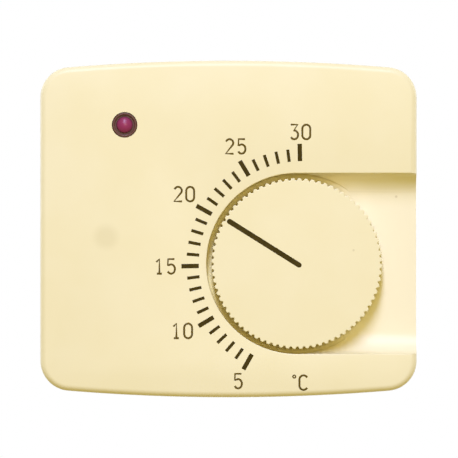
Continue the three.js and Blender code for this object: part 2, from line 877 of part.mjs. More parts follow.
for (const [i, dropZ] of [2.4, 6].entries()) {
  const from = new THREE.Vector3(terminalsLeftX - 2 * fit, terminalBackY - 5, terminalTopZ - dropZ);
  const to = new THREE.Vector3(boardLeftX + boardWidth - 1.6, boardFrontY - 2 * fit, boardTopZ - 6.2 - i * 2.6);
  const middle = new THREE.Vector3((from.x + to.x) / 2, from.y - 1.5, (from.z + to.z) / 2);
  const landing = new THREE.Vector3(to.x + 0.6, to.y - 2, to.z);
  const route = new THREE.CatmullRomCurve3([from, middle, landing, to]);
  const colour = i === 0 ? 0x3b66b0 : 0x6b4a34;
  addPiece(casing, "board_wire_" + (i + 1), material(colour, 0.5), wire(route, 0.55, 12));
}

// ---- Spindle bearing ----

function spindleBush() {
  const inner = journalRadius + runningClearance;
  const outer = inner + bushWall;
  return ring(inner, outer, baseFrontY - bushLength, baseFrontY - fit, dialX, dialZ);
}

const bushFrontY = baseFrontY - bushLength;
const shoulderY = bushFrontY - 1.9;

addPiece(casing, "spindle_bush", material(0xf2f2ee, 0.4), spindleBush());

// A dished spring washer under the spindle's shoulder, which keeps the dial where it is set.
function frictionWasher() {
  const inner = journalRadius + 0.4;
  const outer = journalRadius + 1.6;
  const profile = [
    [inner, bushFrontY - 1.4],
    [inner, bushFrontY - 1.1],
    [outer, bushFrontY - 0.4],
    [outer, bushFrontY - 0.7],
    [inner, bushFrontY - 1.4],
  ];
  return turned(profile, dialX, dialZ);
}

addPiece(casing, "friction_washer", steel(), frictionWasher());

// ---- Lever bearing and spring ----

const pivotBackY = baseFrontY - 3.3;
const clipFrontY = leverFrontY - fit - 0.6;

function leverPivotPin() {
  const grooveRadius = pivotRadius - 0.35;
  const profile = [
    [0, clipFrontY - 1],
    [pivotRadius, clipFrontY - 1],
    [pivotRadius, clipFrontY - 0.1],
    [grooveRadius, clipFrontY - 0.1],
    [grooveRadius, clipFrontY + 0.7],
    [pivotRadius, clipFrontY + 0.7],
    [pivotRadius, pivotBackY],
    [0, pivotBackY],
  ];
  return turned(profile, pivotX, pivotZ, 24);
}

function pivotClip() {
  const inner = pivotRadius - 0.2;
  const whole = ring(inner, pivotRadius + 1.3, clipFrontY, clipFrontY + 0.6, 0, 0, 24);
  const mouth = box(-0.7, 0.7, clipFrontY - 1, clipFrontY + 2, -6, 0);
  return cut(whole, mouth);
}

addPiece(casing, "lever_pivot_pin", steel(), leverPivotPin());
addPiece(casing, "pivot_clip", material(0x4b4b50, 0.4, 0.8), pivotClip(), pivotX, 0, pivotZ);

class SpringCoil extends THREE.Curve {
  getPoint(t, target = new THREE.Vector3()) {
    const turns = 3.5;
    const radius = pivotTowerRadius + 0.8;
    const angle = t * turns * 2 * Math.PI;
    const y = leverBackY + 2 + t * 4.2;
    return target.set(radius * Math.cos(angle), y, radius * Math.sin(angle));
  }
}

function leverSpring() {
  const coil = new SpringCoil();
  const start = coil.getPoint(0);
  const end = coil.getPoint(1);
  const path = new THREE.CurvePath();
  path.add(new THREE.LineCurve3(new THREE.Vector3(start.x, start.y, -springLeg), start));
  path.add(coil);
  path.add(new THREE.LineCurve3(end, new THREE.Vector3(end.x, end.y, -springLeg)));
  return wire(path, springWireRadius, 48, 6);
}

addPiece(casing, "lever_spring", steel(), leverSpring(), pivotX, 0, pivotZ);

// ---- Dial ----

function knurledOutline(radius, depth) {
  const shape = new THREE.Shape();
  for (let i = 0; i < knurlCount * 2; i++) {
    const angle = (i / (knurlCount * 2)) * Math.PI * 2;
    const reach = i % 2 === 0 ? radius : radius - depth;
    const x = reach * Math.cos(angle);
    const z = reach * Math.sin(angle);
    if (i === 0) {
      shape.moveTo(x, z);
    } else {
      shape.lineTo(x, z);
    }
  }
  shape.closePath();
  return shape;
}

function temperatureDial() {
  const body = slab(knurledOutline(dialRadius, knurlDepth), dialFaceY, dialBackY);
  const hollow = disc(dialRadius - dialSkirtWall, dialHollowY, dialBackY + 1, 0, 0, 36);
  const hub = disc(spindleRadius + fit + hubWall, dialHollowY - 0.5, dialBackY - 0.1);
  const bore = disc(spindleRadius + fit, dialHollowY, dialBackY + 1);
  const reach = dialRadius - knurlDepth - pointerMargin + pointerOverrun;
  const middle = reach / 2 - pointerOverrun;
  const shape = new THREE.Shape();
  const half = (reach - pointerWidth) / 2;
  shape.absarc(0, middle + half, pointerWidth / 2, 0, Math.PI, false);
  shape.absarc(0, middle - half, pointerWidth / 2, Math.PI, Math.PI * 2, false);
  shape.closePath();
  const pointer = slab(shape, dialFaceY - 1, dialFaceY + pointerDepth);
  return cut(join(cut(body, hollow), hub), bore, pointer);
}

const restTurn = -THREE.MathUtils.degToRad(pointerAngle);
addPiece(dial, "temperature_dial", ivory(), temperatureDial()).rotation.y = restTurn;

// Spring sleeve that grips the hub on the spindle.
function dialClip() {
  const inner = spindleRadius + fit + hubWall + fit;
  const sleeve = ring(inner, inner + 0.6, dialHollowY + 0.4, dialBackY - 0.4);
  return cut(sleeve, box(-0.8, 0.8, dialHollowY - 1, dialBackY + 1, 0, inner + 3));
}

addPiece(dial, "dial_clip", steel(), dialClip()).rotation.y = restTurn;

// A flat ring with a tab that meets the stop post at one end of the dial's turn.
function limitRing(inner, outer, tabAngle) {
  const flat = ring(inner, outer, limitRingFrontY, limitRingBackY, 0, 0, 36);
  const from = tabAngle - stopHalfAngle;
  const to = tabAngle + stopHalfAngle;
  const rootInner = Math.max(inner, stopRadius - stopHalfWidth);
  const rootOuter = Math.min(outer, stopRadius + stopHalfWidth);
  const root = sector(rootInner, rootOuter, from, to, limitRingBackY - 0.2, tabFrontY + 0.1);
  const tab = sector(stopRadius - stopHalfWidth, stopRadius + stopHalfWidth, from, to, tabFrontY, tabBackY);
  return join(flat, root, tab);
}

const stopSpacing = 2 * stopHalfAngle + stopGapAngle;
addPiece(
  dial,
  "max_limit_ring",
  material(0xc23a34, 0.45),
  limitRing(ringSplit + ringGap / 2, ringOuter, turnToWarmest + stopSpacing),
);
addPiece(
  dial,
  "min_limit_ring",
  material(0x3566b8, 0.45),
  limitRing(ringInner, ringSplit - ringGap / 2, -turnToCoolest - stopSpacing),
);

function settingSpindle() {
  const profile = [
    [0, dialHollowY + fit],
    [spindleRadius - 0.4, dialHollowY + fit],
    [spindleRadius, dialHollowY + fit + 0.4],
    [spindleRadius, shoulderY],
    [journalRadius, shoulderY],
    [journalRadius, baseFrontY - 0.6],
    [0, baseFrontY - 0.6],
  ];
  return turned(profile);
}

addPiece(dial, "setting_spindle", material(0xeae6da, 0.45), settingSpindle());

// The cam's radius where the calibration screw meets it falls evenly as the dial turns warmer.
function settingCam() {
  const lift = (pivotZ - dialZ) * leverTurnPerDialTurn;
  const margin = 8;
  const from = -turnToCoolest - margin;
  const to = turnToWarmest + margin;
  const radiusAt = (turn) => camRestRadius + lift * THREE.MathUtils.degToRad(turn);
  const steps = 24;
  const shape = new THREE.Shape();
  for (let i = 0; i <= steps; i++) {
    const turn = from + ((to - from) * i) / steps;
    const angle = THREE.MathUtils.degToRad(180 + turn);
    const radius = radiusAt(turn);
    const x = radius * Math.cos(angle);
    const z = radius * Math.sin(angle);
    if (i === 0) {
      shape.moveTo(x, z);
    } else {
      shape.lineTo(x, z);
    }
  }
  const closing = 16;
  for (let i = 1; i < closing; i++) {
    const share = i / closing;
    const angle = THREE.MathUtils.degToRad(180 + to + (360 - to + from) * share);
    const radius = radiusAt(to) + (radiusAt(from) - radiusAt(to)) * share;
    shape.lineTo(radius * Math.cos(angle), radius * Math.sin(angle));
  }
  shape.closePath();
  const bore = disc(spindleRadius + fit, camFrontY - 1, camBackY + 1);
  return cut(slab(shape, camFrontY, camBackY), bore);
}

addPiece(dial, "setting_cam", material(0xd9cfae, 0.5), settingCam());

// ---- Setting lever ----

const footX = stripX - pivotX;
const tabThickness = 1.2;
const footTabX = footX - fit - tabThickness;
const screwTipX = dialX - camRestRadius - fit - pivotX;
const noseTabX = screwTipX - 5.6;
const noseZ = dialZ - pivotZ;
const footHeight = 7;
const stripNotchMargin = 1.5;

function settingLever() {
  const hub = disc(pivotTowerRadius + 0.4, leverFrontY, leverBackY);
  const footArm = bar(0, 0, footTabX + 2.2, 1.2, leverArmWidth, leverFrontY, leverBackY);
  const noseArm = bar(0, 0, noseTabX + 0.75, noseZ, leverArmWidth, leverFrontY, leverBackY);
  const footTab = box(
    footTabX,
    footTabX + tabThickness,
    leverFrontY,
    stripBackY,
    stripFootZ - pivotZ,
    stripFootZ - pivotZ + footHeight,
  );
  const footLanding = box(
    footTabX,
    footTabX + 4,
    leverFrontY,
    leverBackY,
    stripFootZ - pivotZ,
    stripFootZ - pivotZ + footHeight,
  );
  const noseTab = box(
    noseTabX,
    noseTabX + 1.5,
    leverFrontY,
    camMiddleY + 2.6,
    noseZ - leverArmWidth / 2,
    noseZ + leverArmWidth / 2,
  );
  const bore = disc(pivotRadius + runningClearance, leverFrontY - 1, leverBackY + 1, 0, 0, 24);
  const holes = footRivetPlaces().map(([y, z]) =>
    turnedAcross([[0, footTabX - 1], [1.1, footTabX - 1], [1.1, footX], [0, footX]], y, z),
  );
  const tapped = turnedAcross(
    [
      [0, noseTabX - 1],
      [calibrationRadius + fit, noseTabX - 1],
      [calibrationRadius + fit, noseTabX + 3],
      [0, noseTabX + 3],
    ],
    camMiddleY,
    noseZ,
  );
  return cut(join(hub, footArm, noseArm, footTab, footLanding, noseTab), bore, tapped, ...holes);
}

function footRivetPlaces() {
  const z = stripFootZ - pivotZ + footHeight / 2;
  return [
    [camMiddleY, z - 1.7],
    [camMiddleY, z + 1.7],
  ];
}

addPiece(lever, "setting_lever", steel(), settingLever());

const clampPlateX = footX + stripThickness + fit;
const clampPlateThickness = 1;

function clampPlate() {
  const plate = box(
    clampPlateX,
    clampPlateX + clampPlateThickness,
    leverBackY + fit,
    stripBackY,
    stripFootZ - pivotZ,
    stripFootZ - pivotZ + footHeight - 0.5,
  );
  const holes = footRivetPlaces().map(([y, z]) =>
    turnedAcross([[0, clampPlateX - 1], [1.1, clampPlateX - 1], [1.1, clampPlateX + 3], [0, clampPlateX + 3]], y, z),
  );
  return cut(plate, ...holes);
}

addPiece(lever, "clamp_plate", steel(), clampPlate());

footRivetPlaces().forEach(([y, z], i) => {
  const left = footTabX - fit;
  const right = clampPlateX + clampPlateThickness + fit;
  const profile = [
    [0, left - 0.7],
    [1.4, left - 0.7],
    [1.4, left],
    [rivetRadius, left],
    [rivetRadius, right],
    [1.4, right],
    [1.4, right + 0.7],
    [0, right + 0.7],
  ];
  addPiece(lever, "foot_rivet_" + (i + 1), brass(), turnedAcross(profile, y, z));
});

function calibrationScrew() {
  const headX = noseTabX - 4;
  const neck = screwTipX - calibrationRadius;
  const profile = [
    [0, headX - 1.6],
    [2, headX - 1.6],
    [2, headX],
    [calibrationRadius, headX],
    [calibrationRadius, neck],
    [calibrationRadius * Math.cos(Math.PI / 6), neck + calibrationRadius * Math.sin(Math.PI / 6)],
    [calibrationRadius * Math.cos(Math.PI / 3), neck + calibrationRadius * Math.sin(Math.PI / 3)],
    [0, screwTipX],
  ];
  const slot = box(headX - 3, headX - 0.9, camMiddleY - 3, camMiddleY + 3, noseZ - 0.3, noseZ + 0.3);
  return cut(turnedAcross(profile, camMiddleY, noseZ), slot);
}

addPiece(lever, "calibration_screw", brass(), calibrationScrew());

// ---- Bimetal ----

function bimetalStrip() {
  const strip = box(
    stripX,
    stripRightX,
    stripFrontY,
    stripBackY,
    stripFootZ,
    stripFootZ + stripLength,
  );
  const holes = footRivetPlaces().map(([y, z]) => [y, z + pivotZ, 1.1]);
  holes.push([camMiddleY, contactZ, 1], [camMiddleY, armatureZ, 1.1]);
  const punches = holes.map(([y, z, radius]) =>
    turnedAcross([[0, stripX - 1], [radius, stripX - 1], [radius, stripRightX + 1], [0, stripRightX + 1]], y, z),
  );
  const notch = box(
    stripX - 1,
    stripRightX + 1,
    stripFrontY - 1,
    leverBackY + fit,
    stripFootZ - 1,
    stripFootZ + footHeight + stripNotchMargin,
  );
  return cut(strip, notch, ...punches);
}

addPiece(thermostat, "bimetal_strip", material(0xa8a49a, 0.35, 1), bimetalStrip());

const movingFaceX = stripRightX + fit + 1.2;
addPiece(
  thermostat,
  "moving_contact",
  material(0xd8d8da, 0.25, 1),
  contactRivet(movingFaceX, stripRightX, stripThickness),
);

function armature() {
  const plate = box(
    armatureX,
    armatureX + armatureThickness,
    camMiddleY - armatureHalf,
    camMiddleY + armatureHalf,
    armatureZ - armatureHalf,
    armatureZ + armatureHalf,
  );
  const hole = turnedAcross(
    [[0, armatureX - 1], [1.1, armatureX - 1], [1.1, armatureX + 3], [0, armatureX + 3]],
    camMiddleY,
    armatureZ,
  );
  return cut(plate, hole);
}

addPiece(thermostat, "armature", steel(), armature());

function armatureRivet() {
  const left = stripX - fit;
  const right = armatureX + armatureThickness + 0.2;
  const profile = [
    [0, left - 0.5],
    [1.5, left - 0.5],
    [1.5, left],
    [rivetRadius, left],
    [rivetRadius, right],
    [1.4, right],
    [1.4, right + 0.3],
    [0, right + 0.3],
  ];
  return turnedAcross(profile, camMiddleY, armatureZ);
}

addPiece(thermostat, "armature_rivet", brass(), armatureRivet());

export default thermostat;
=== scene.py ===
import json
import math
import bpy
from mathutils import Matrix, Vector


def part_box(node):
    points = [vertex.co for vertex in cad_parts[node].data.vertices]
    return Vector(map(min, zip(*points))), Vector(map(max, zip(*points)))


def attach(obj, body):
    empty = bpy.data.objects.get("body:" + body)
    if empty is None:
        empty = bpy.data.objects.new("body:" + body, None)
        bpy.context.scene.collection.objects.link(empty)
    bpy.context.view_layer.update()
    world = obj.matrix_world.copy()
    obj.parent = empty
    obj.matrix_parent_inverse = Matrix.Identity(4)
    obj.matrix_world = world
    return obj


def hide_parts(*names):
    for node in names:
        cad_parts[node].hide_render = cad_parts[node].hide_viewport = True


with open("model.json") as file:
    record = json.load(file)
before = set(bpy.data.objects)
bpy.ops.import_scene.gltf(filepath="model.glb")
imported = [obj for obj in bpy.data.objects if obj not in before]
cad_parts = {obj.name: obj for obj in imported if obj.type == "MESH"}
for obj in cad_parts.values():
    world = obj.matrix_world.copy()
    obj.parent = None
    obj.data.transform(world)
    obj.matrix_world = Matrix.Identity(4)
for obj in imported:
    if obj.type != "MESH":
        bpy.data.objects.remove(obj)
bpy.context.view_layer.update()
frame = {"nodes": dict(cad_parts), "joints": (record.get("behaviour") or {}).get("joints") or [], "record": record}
nodes = frame["nodes"]
mm = 0.001

coverLow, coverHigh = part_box("front_cover")
dialLow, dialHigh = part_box("temperature_dial")
lensLow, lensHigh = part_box("indicator_lens")
dialAxis = Vector([j for j in frame["joints"] if j["name"] == "dial_turn"][0]["pos_m"])
faceY = coverLow.y
dialFaceY = dialLow.y
dialBackY = dialHigh.y
lensAt = (lensLow + lensHigh) / 2


def startFresh():
    if bpy.context.object and bpy.context.object.mode != "OBJECT":
        bpy.ops.object.mode_set(mode="OBJECT")
    bpy.ops.object.select_all(action="DESELECT")


def pick(piece):
    startFresh()
    piece.select_set(True)
    bpy.context.view_layer.objects.active = piece


def editAll(piece):
    pick(piece)
    bpy.ops.object.mode_set(mode="EDIT")
    bpy.ops.mesh.select_all(action="SELECT")


def settle(piece):
    pick(piece)
    bpy.ops.object.transform_apply(location=True, rotation=True, scale=True)


# Draws a chain of edges: each step is a line to a point, or an arc about a centre by some degrees.
def drawPath(name, start, steps, normal):
    startFresh()
    bpy.ops.mesh.primitive_plane_add(size=mm, location=start)
    piece = bpy.context.object
    piece.name = name
    bpy.ops.object.mode_set(mode="EDIT")
    bpy.ops.mesh.merge(type="CENTER")
    at = Vector(start)
    for step in steps:
        if step[0] == "line":
            move = Vector(step[1]) - at
            bpy.ops.mesh.extrude_vertices_move(TRANSFORM_OT_translate={"value": move})
            at = Vector(step[1])
        else:
            centre, degrees, count = Vector(step[1]), step[2], step[3]
            bpy.ops.mesh.spin(steps=count, angle=math.radians(degrees), center=centre, axis=-Vector(normal))
            turn = Vector(normal).normalized()
            at = centre + rotated(at - centre, turn, math.radians(degrees))
    bpy.ops.object.mode_set(mode="OBJECT")
    settle(piece)
    return piece


def rotated(arm, axis, angle):
    along = axis * arm.dot(axis)
    across = arm - along
    return along + across * math.cos(angle) + axis.cross(across) * math.sin(angle)


# Closes a drawn outline with one face and pulls it out into a solid.
def pullOut(piece, move):
    editAll(piece)
    bpy.ops.mesh.remove_doubles(threshold=0.001 * mm)
    bpy.ops.mesh.edge_face_add()
    bpy.ops.mesh.extrude_region_move(TRANSFORM_OT_translate={"value": move})
    bpy.ops.mesh.select_all(action="SELECT")
    bpy.ops.mesh.normals_make_consistent(inside=False)
    bpy.ops.object.mode_set(mode="OBJECT")
    return piece


# Rounds the edges at one depth and, with keepPicked, those between points that are already selected.
def roundRim(piece, y, width, segments, keepPicked=False):
    if not keepPicked:
        editAll(piece)
        bpy.ops.mesh.select_all(action="DESELECT")
        bpy.ops.object.mode_set(mode="OBJECT")
    for edge in piece.data.edges:
        ends = [piece.data.vertices[v].co for v in edge.vertices]
        edge.select = all(abs(end.y - y) < 0.01 * mm for end in ends)
    for face in piece.data.polygons:
        face.select = False
    bpy.ops.object.mode_set(mode="EDIT")
    bpy.ops.mesh.select_mode(type="EDGE")
    bpy.ops.mesh.bevel(offset=width, segments=segments, affect="EDGES")
    bpy.ops.mesh.select_mode(type="VERT")
    bpy.ops.object.mode_set(mode="OBJECT")


# Turns a drawn profile right round an axis along Y.
def spinRound(piece, centre, count):
    editAll(piece)
    bpy.ops.mesh.spin(steps=count, angle=math.tau, center=centre, axis=(0, 1, 0))
    bpy.ops.mesh.select_all(action="SELECT")
    bpy.ops.mesh.remove_doubles(threshold=0.001 * mm)
    bpy.ops.mesh.normals_make_consistent(inside=False)
    bpy.ops.object.mode_set(mode="OBJECT")
    return piece


def carve(piece, tool, operation="DIFFERENCE"):
    pick(piece)
    bpy.ops.object.modifier_add(type="BOOLEAN")
    boolean = piece.modifiers[-1]
    boolean.operation = operation
    boolean.solver = "EXACT"
    boolean.object = tool
    bpy.ops.object.modifier_apply(modifier=boolean.name)
    bpy.data.objects.remove(tool)


def smoothByAngle(piece, degrees=30):
    pick(piece)
    bpy.ops.object.shade_smooth_by_angle(angle=math.radians(degrees))


def block(name, low, high):
    startFresh()
    centre = (Vector(low) + Vector(high)) / 2
    bpy.ops.mesh.primitive_cube_add(size=1, location=centre)
    piece = bpy.context.object
    piece.name = name
    piece.scale = Vector(high) - Vector(low)
    settle(piece)
    return piece


def rod(name, radius, y0, y1, x, z, count=48):
    startFresh()
    bpy.ops.mesh.primitive_cylinder_add(
        vertices=count, radius=radius, depth=y1 - y0,
        location=(x, (y0 + y1) / 2, z), rotation=(math.pi / 2, 0, 0))
    piece = bpy.context.object
    piece.name = name
    settle(piece)
    return piece


def newFinish(name):
    finish = bpy.data.materials.new(name)
    finish.use_nodes = True
    tree = finish.node_tree
    return finish, tree, tree.nodes["Principled BSDF"]


def addNode(tree, kind, **settings):
    made = tree.nodes.new(kind)
    for key, value in settings.items():
        if key in made.inputs:
            made.inputs[key].default_value = value
        else:
            setattr(made, key, value)
    return made


# A value that goes from first to last as a coordinate goes from start to end.
def fade(tree, socket, start, end, first=0, last=1, smooth=True):
    made = addNode(tree, "ShaderNodeMapRange", interpolation_type="SMOOTHSTEP" if smooth else "LINEAR")
    made.inputs["From Min"].default_value = start
    made.inputs["From Max"].default_value = end
    made.inputs["To Min"].default_value = first
    made.inputs["To Max"].default_value = last
    tree.links.new(socket, made.inputs["Value"])
    return made.outputs["Result"]


def blendTones(tree, shader, share, first, second):
    blend = addNode(tree, "ShaderNodeMix", data_type="RGBA")
    blend.inputs["A"].default_value = (*first, 1)
    blend.inputs["B"].default_value = (*second, 1)
    tree.links.new(share, blend.inputs["Factor"])
    tree.links.new(blend.outputs["Result"], shader.inputs["Base Color"])


# Grain shows as a fine bump and as a little change in gloss.
def addGrain(tree, shader, texture, glossiest, dullest, strength):
    gloss = fade(tree, texture.outputs["Fac"], 0, 1, glossiest, dullest, smooth=False)
    tree.links.new(gloss, shader.inputs["Roughness"])
    bump = addNode(tree, "ShaderNodeBump", Strength=strength, Distance=0.02 * mm)
    tree.links.new(texture.outputs["Fac"], bump.inputs["Height"])
    tree.links.new(bump.outputs["Normal"], shader.inputs["Normal"])


# Two close tones drifting over the piece, with a fine moulded grain.
def mouldedPlastic(name, tone, deeper, rough=0.4, grain=0.08, drift=14, shine=0.5):
    finish, tree, shader = newFinish(name)
    place = addNode(tree, "ShaderNodeTexCoord")
    clouds = addNode(tree, "ShaderNodeTexNoise", Scale=1 / (drift * mm), Detail=3.0, Roughness=0.55)
    tree.links.new(place.outputs["Object"], clouds.inputs["Vector"])
    share = fade(tree, clouds.outputs["Fac"], 0.35, 0.65, smooth=False)
    blendTones(tree, shader, share, tone, deeper)
    fine = addNode(tree, "ShaderNodeTexNoise", Scale=1 / (0.25 * mm), Detail=2.0)
    tree.links.new(place.outputs["Object"], fine.inputs["Vector"])
    addGrain(tree, shader, fine, rough - 0.05, rough + 0.06, grain)
    shader.inputs["Specular IOR Level"].default_value = shine
    return finish


# Metal with fine rolling lines along one direction and slight staining.
def stampedMetal(name, tone, darker, rough=0.32, lines=(1, 1, 40)):
    finish, tree, shader = newFinish(name)
    shader.inputs["Metallic"].default_value = 1.0
    place = addNode(tree, "ShaderNodeTexCoord")
    stretch = addNode(tree, "ShaderNodeMapping")
    stretch.inputs["Scale"].default_value = lines
    tree.links.new(place.outputs["Object"], stretch.inputs["Vector"])
    rolling = addNode(tree, "ShaderNodeTexNoise", Scale=1 / (1.2 * mm), Detail=4.0)
    tree.links.new(stretch.outputs["Vector"], rolling.inputs["Vector"])
    stain = addNode(tree, "ShaderNodeTexNoise", Scale=1 / (2.5 * mm), Detail=2.0)
    tree.links.new(place.outputs["Object"], stain.inputs["Vector"])
    blendTones(tree, shader, stain.outputs["Fac"], tone, darker)
    addGrain(tree, shader, rolling, rough - 0.1, rough + 0.14, 0.15)
    return finish


# The place on the piece, measured from a point of it.
def placeFrom(tree, point):
    place = addNode(tree, "ShaderNodeTexCoord")
    offset = addNode(tree, "ShaderNodeVectorMath", operation="SUBTRACT")
    offset.inputs[1].default_value = point
    tree.links.new(place.outputs["Object"], offset.inputs[0])
    return offset.outputs["Vector"]


# Lays a tone, or another node's colour, over the finish where share is above nothing.
def layOver(finish, share, tone):
    tree = finish.node_tree
    shader = tree.nodes["Principled BSDF"]
    blend = addNode(tree, "ShaderNodeMix", data_type="RGBA")
    tree.links.new(share, blend.inputs["Factor"])
    tree.links.new(shader.inputs["Base Color"].links[0].from_socket, blend.inputs["A"])
    if isinstance(tone, tuple):
        blend.inputs["B"].default_value = (*tone, 1)
    else:
        tree.links.new(tone, blend.inputs["B"])
    tree.links.new(blend.outputs["Result"], shader.inputs["Base Color"])


# A few pinhead specks caught in the moulding.
def fineSpecks(finish, apart, size, share):
    tree = finish.node_tree
    place = addNode(tree, "ShaderNodeTexCoord")
    dots = addNode(tree, "ShaderNodeTexVoronoi", Scale=1 / apart)
    tree.links.new(place.outputs["Object"], dots.inputs["Vector"])
    speck = fade(tree, dots.outputs["Distance"], size / apart * 0.5, size / apart, share, 0, smooth=False)
    layOver(finish, speck, (0.35, 0.26, 0.10))


ivory = {"tone": (0.925, 0.845, 0.57), "deeper": (0.91, 0.825, 0.535), "rough": 0.45}
coverPlastic = mouldedPlastic("coverPlastic", **ivory)
dialPlastic = mouldedPlastic("dialPlastic", **ivory)
fineSpecks(dialPlastic, 9 * mm, 0.3 * mm, 0.25)
ink = {"rough": 0.7, "drift": 1.5, "shine": 0.12}
inkBrown = mouldedPlastic("inkBrown", (0.05, 0.034, 0.003), (0.07, 0.047, 0.006), **ink)
numeralInk = mouldedPlastic("numeralInk", (0.11, 0.075, 0.012), (0.15, 0.10, 0.02), **ink)

print("finishes ready")


cover = {
    "bow": 1.8 * mm,
    "corner": 6 * mm,
    "edge": 1.2 * mm,
    "wall": 1.8 * mm,
    "faceWall": 2 * mm,
    "rim": 0.22 * mm,          # small radius where the pocket and recess leave the face
    "pocketRadius": 18 * mm,
    "pocketDepth": 4.5 * mm,
    "pocketFillet": 0.3 * mm,
    "cove": 4.2 * mm,
    "ventWidth": 1.6 * mm,
    "ventPitch": 5 * mm,
    "ventCount": 11,
    "ventMargin": 5 * mm,      # from the face, and from the wall
    "overlap": 0.5 * mm,       # how far a joined piece reaches into the shell
    "screwFromDial": (9 * mm, -9 * mm),
    "screwBoss": 4.4 * mm,
    "screwBossDepth": 3 * mm,
    "screwWell": 3.1 * mm,
    "screwWellDepth": 2.2 * mm,
    "screwHole": 1.8 * mm,
    "lampSleeve": 3.45 * mm,
    "lampSleeveDepth": 5 * mm,
    "lampHole": 2.55 * mm,
    "supportPin": 1.6 * mm,
    "supportPinDepth": 3.5 * mm,
    "supportPinAt": (-24.4 * mm, -1.6 * mm),
    "spindleHole": 3.6 * mm,
    "stopRadius": 11.8 * mm,   # post above the spindle that ends the dial's turn
    "stopHalf": (1.03 * mm, 1.1 * mm),
    "stopFront": 2.8 * mm,     # behind the face
    "ledgeX": 20 * mm,         # ledges that the base plate's hooks hold
    "ledgeHalf": 3 * mm,
    "ledgeReach": 0.9 * mm,
    "ledgeRoot": 0.6 * mm,
    "ledgeY": (-6.2 * mm, -5 * mm),
    "paintedShadeAmber": (0.96, 0.84, 0.42),       # painted shade: a warm amber tint standing in for the bounce light in the ring round the dial
    "paintedFloorLight": (0.955, 0.88, 0.65),      # painted light: the recess floor is drawn paler where its open end is well lit
    "floorLightFrom": 1 * mm,                # right of the dial's axis
    "floorLightTo": 13 * mm,
    "sinkRadius": 2.9 * mm,            # painted shade of the shallow dent where the moulding shrank over the support pin
    "sinkShadeTone": (0.55, 0.46, 0.22),
    "sinkShadeShare": 0.2,
}


# Painted light: the ring round the dial gets a painted amber shade tint, and the floor of the recess is painted
# paler towards its open end, as if well lit.
def recessPaintedLight(finish):
    tree = finish.node_tree
    parts = addNode(tree, "ShaderNodeSeparateXYZ")
    tree.links.new(placeFrom(tree, (dialAxis.x, faceY, dialAxis.z)), parts.inputs["Vector"])
    height = addNode(tree, "ShaderNodeMath", operation="ABSOLUTE")
    tree.links.new(parts.outputs["Z"], height.inputs[0])
    depth = cover["pocketDepth"]
    near = cover["pocketRadius"] + 0.1 * mm  # the painted tints end just outside the pocket's wall
    far = cover["pocketRadius"] + 0.3 * mm
    edges = [
        fade(tree, parts.outputs["Y"], depth * 0.1, depth * 0.9),
        fade(tree, parts.outputs["Y"], depth * 1.02, depth * 1.1, 1, 0),
        fade(tree, height.outputs["Value"], near, far, 1, 0),
        fade(tree, parts.outputs["X"], -far, -near),
    ]
    within = edges[0]
    for edge in edges[1:]:
        both = addNode(tree, "ShaderNodeMath", operation="MULTIPLY")
        tree.links.new(within, both.inputs[0])
        tree.links.new(edge, both.inputs[1])
        within = both.outputs["Value"]
    paintedRecessTint = addNode(tree, "ShaderNodeMix", data_type="RGBA")
    paintedRecessTint.inputs["A"].default_value = (*cover["paintedShadeAmber"], 1)
    paintedRecessTint.inputs["B"].default_value = (*cover["paintedFloorLight"], 1)
    # painted light: the floor tint turns paler towards the recess's open end
    openEnd = fade(tree, parts.outputs["X"], cover["floorLightFrom"], cover["floorLightTo"])
    tree.links.new(openEnd, paintedRecessTint.inputs["Factor"])
    layOver(finish, within, paintedRecessTint.outputs["Result"])


# Painted shade: a faint darker patch stands in for the shading of the shallow sink dent over the support pin.
def sinkDentShade(finish):
    tree = finish.node_tree
    x, z = cover["supportPinAt"]
    radius = cover["sinkRadius"]
    reach = addNode(tree, "ShaderNodeVectorMath", operation="LENGTH")
    tree.links.new(placeFrom(tree, (x, faceY, z)), reach.inputs[0])
    patch = fade(tree, reach.outputs["Value"], radius * 0.35, radius * 1.15, cover["sinkShadeShare"], 0)
    layOver(finish, patch, cover["sinkShadeTone"])


# The plate's outline at one depth: straight sides, bowed top and bottom, round corners.
def plateSketch(name, inset, y):
    width = coverHigh.x - coverLow.x
    height = coverHigh.z - coverLow.z
    bowRadius = width ** 2 / (8 * cover["bow"]) + cover["bow"] / 2
    bowZ = height / 2 - bowRadius
    side = width / 2 - inset
    bow = bowRadius - inset
    corner = cover["corner"] - inset
    cornerX = side - corner
    cornerZ = bowZ + math.sqrt((bow - corner) ** 2 - cornerX ** 2)
    lean = math.degrees(math.atan2(cornerZ - bowZ, cornerX))
    steps = [
        ("arc", (cornerX, y, cornerZ), lean, 12),
        ("arc", (0, y, bowZ), 180 - 2 * lean, 48),
        ("arc", (-cornerX, y, cornerZ), lean, 12),
        ("line", (-side, y, -cornerZ)),
        ("arc", (-cornerX, y, -cornerZ), lean, 12),
        ("arc", (0, y, -bowZ), 180 - 2 * lean, 48),
        ("arc", (cornerX, y, -cornerZ), lean, 12),
    ]
    return drawPath(name, (side, y, cornerZ), steps, (0, -1, 0))


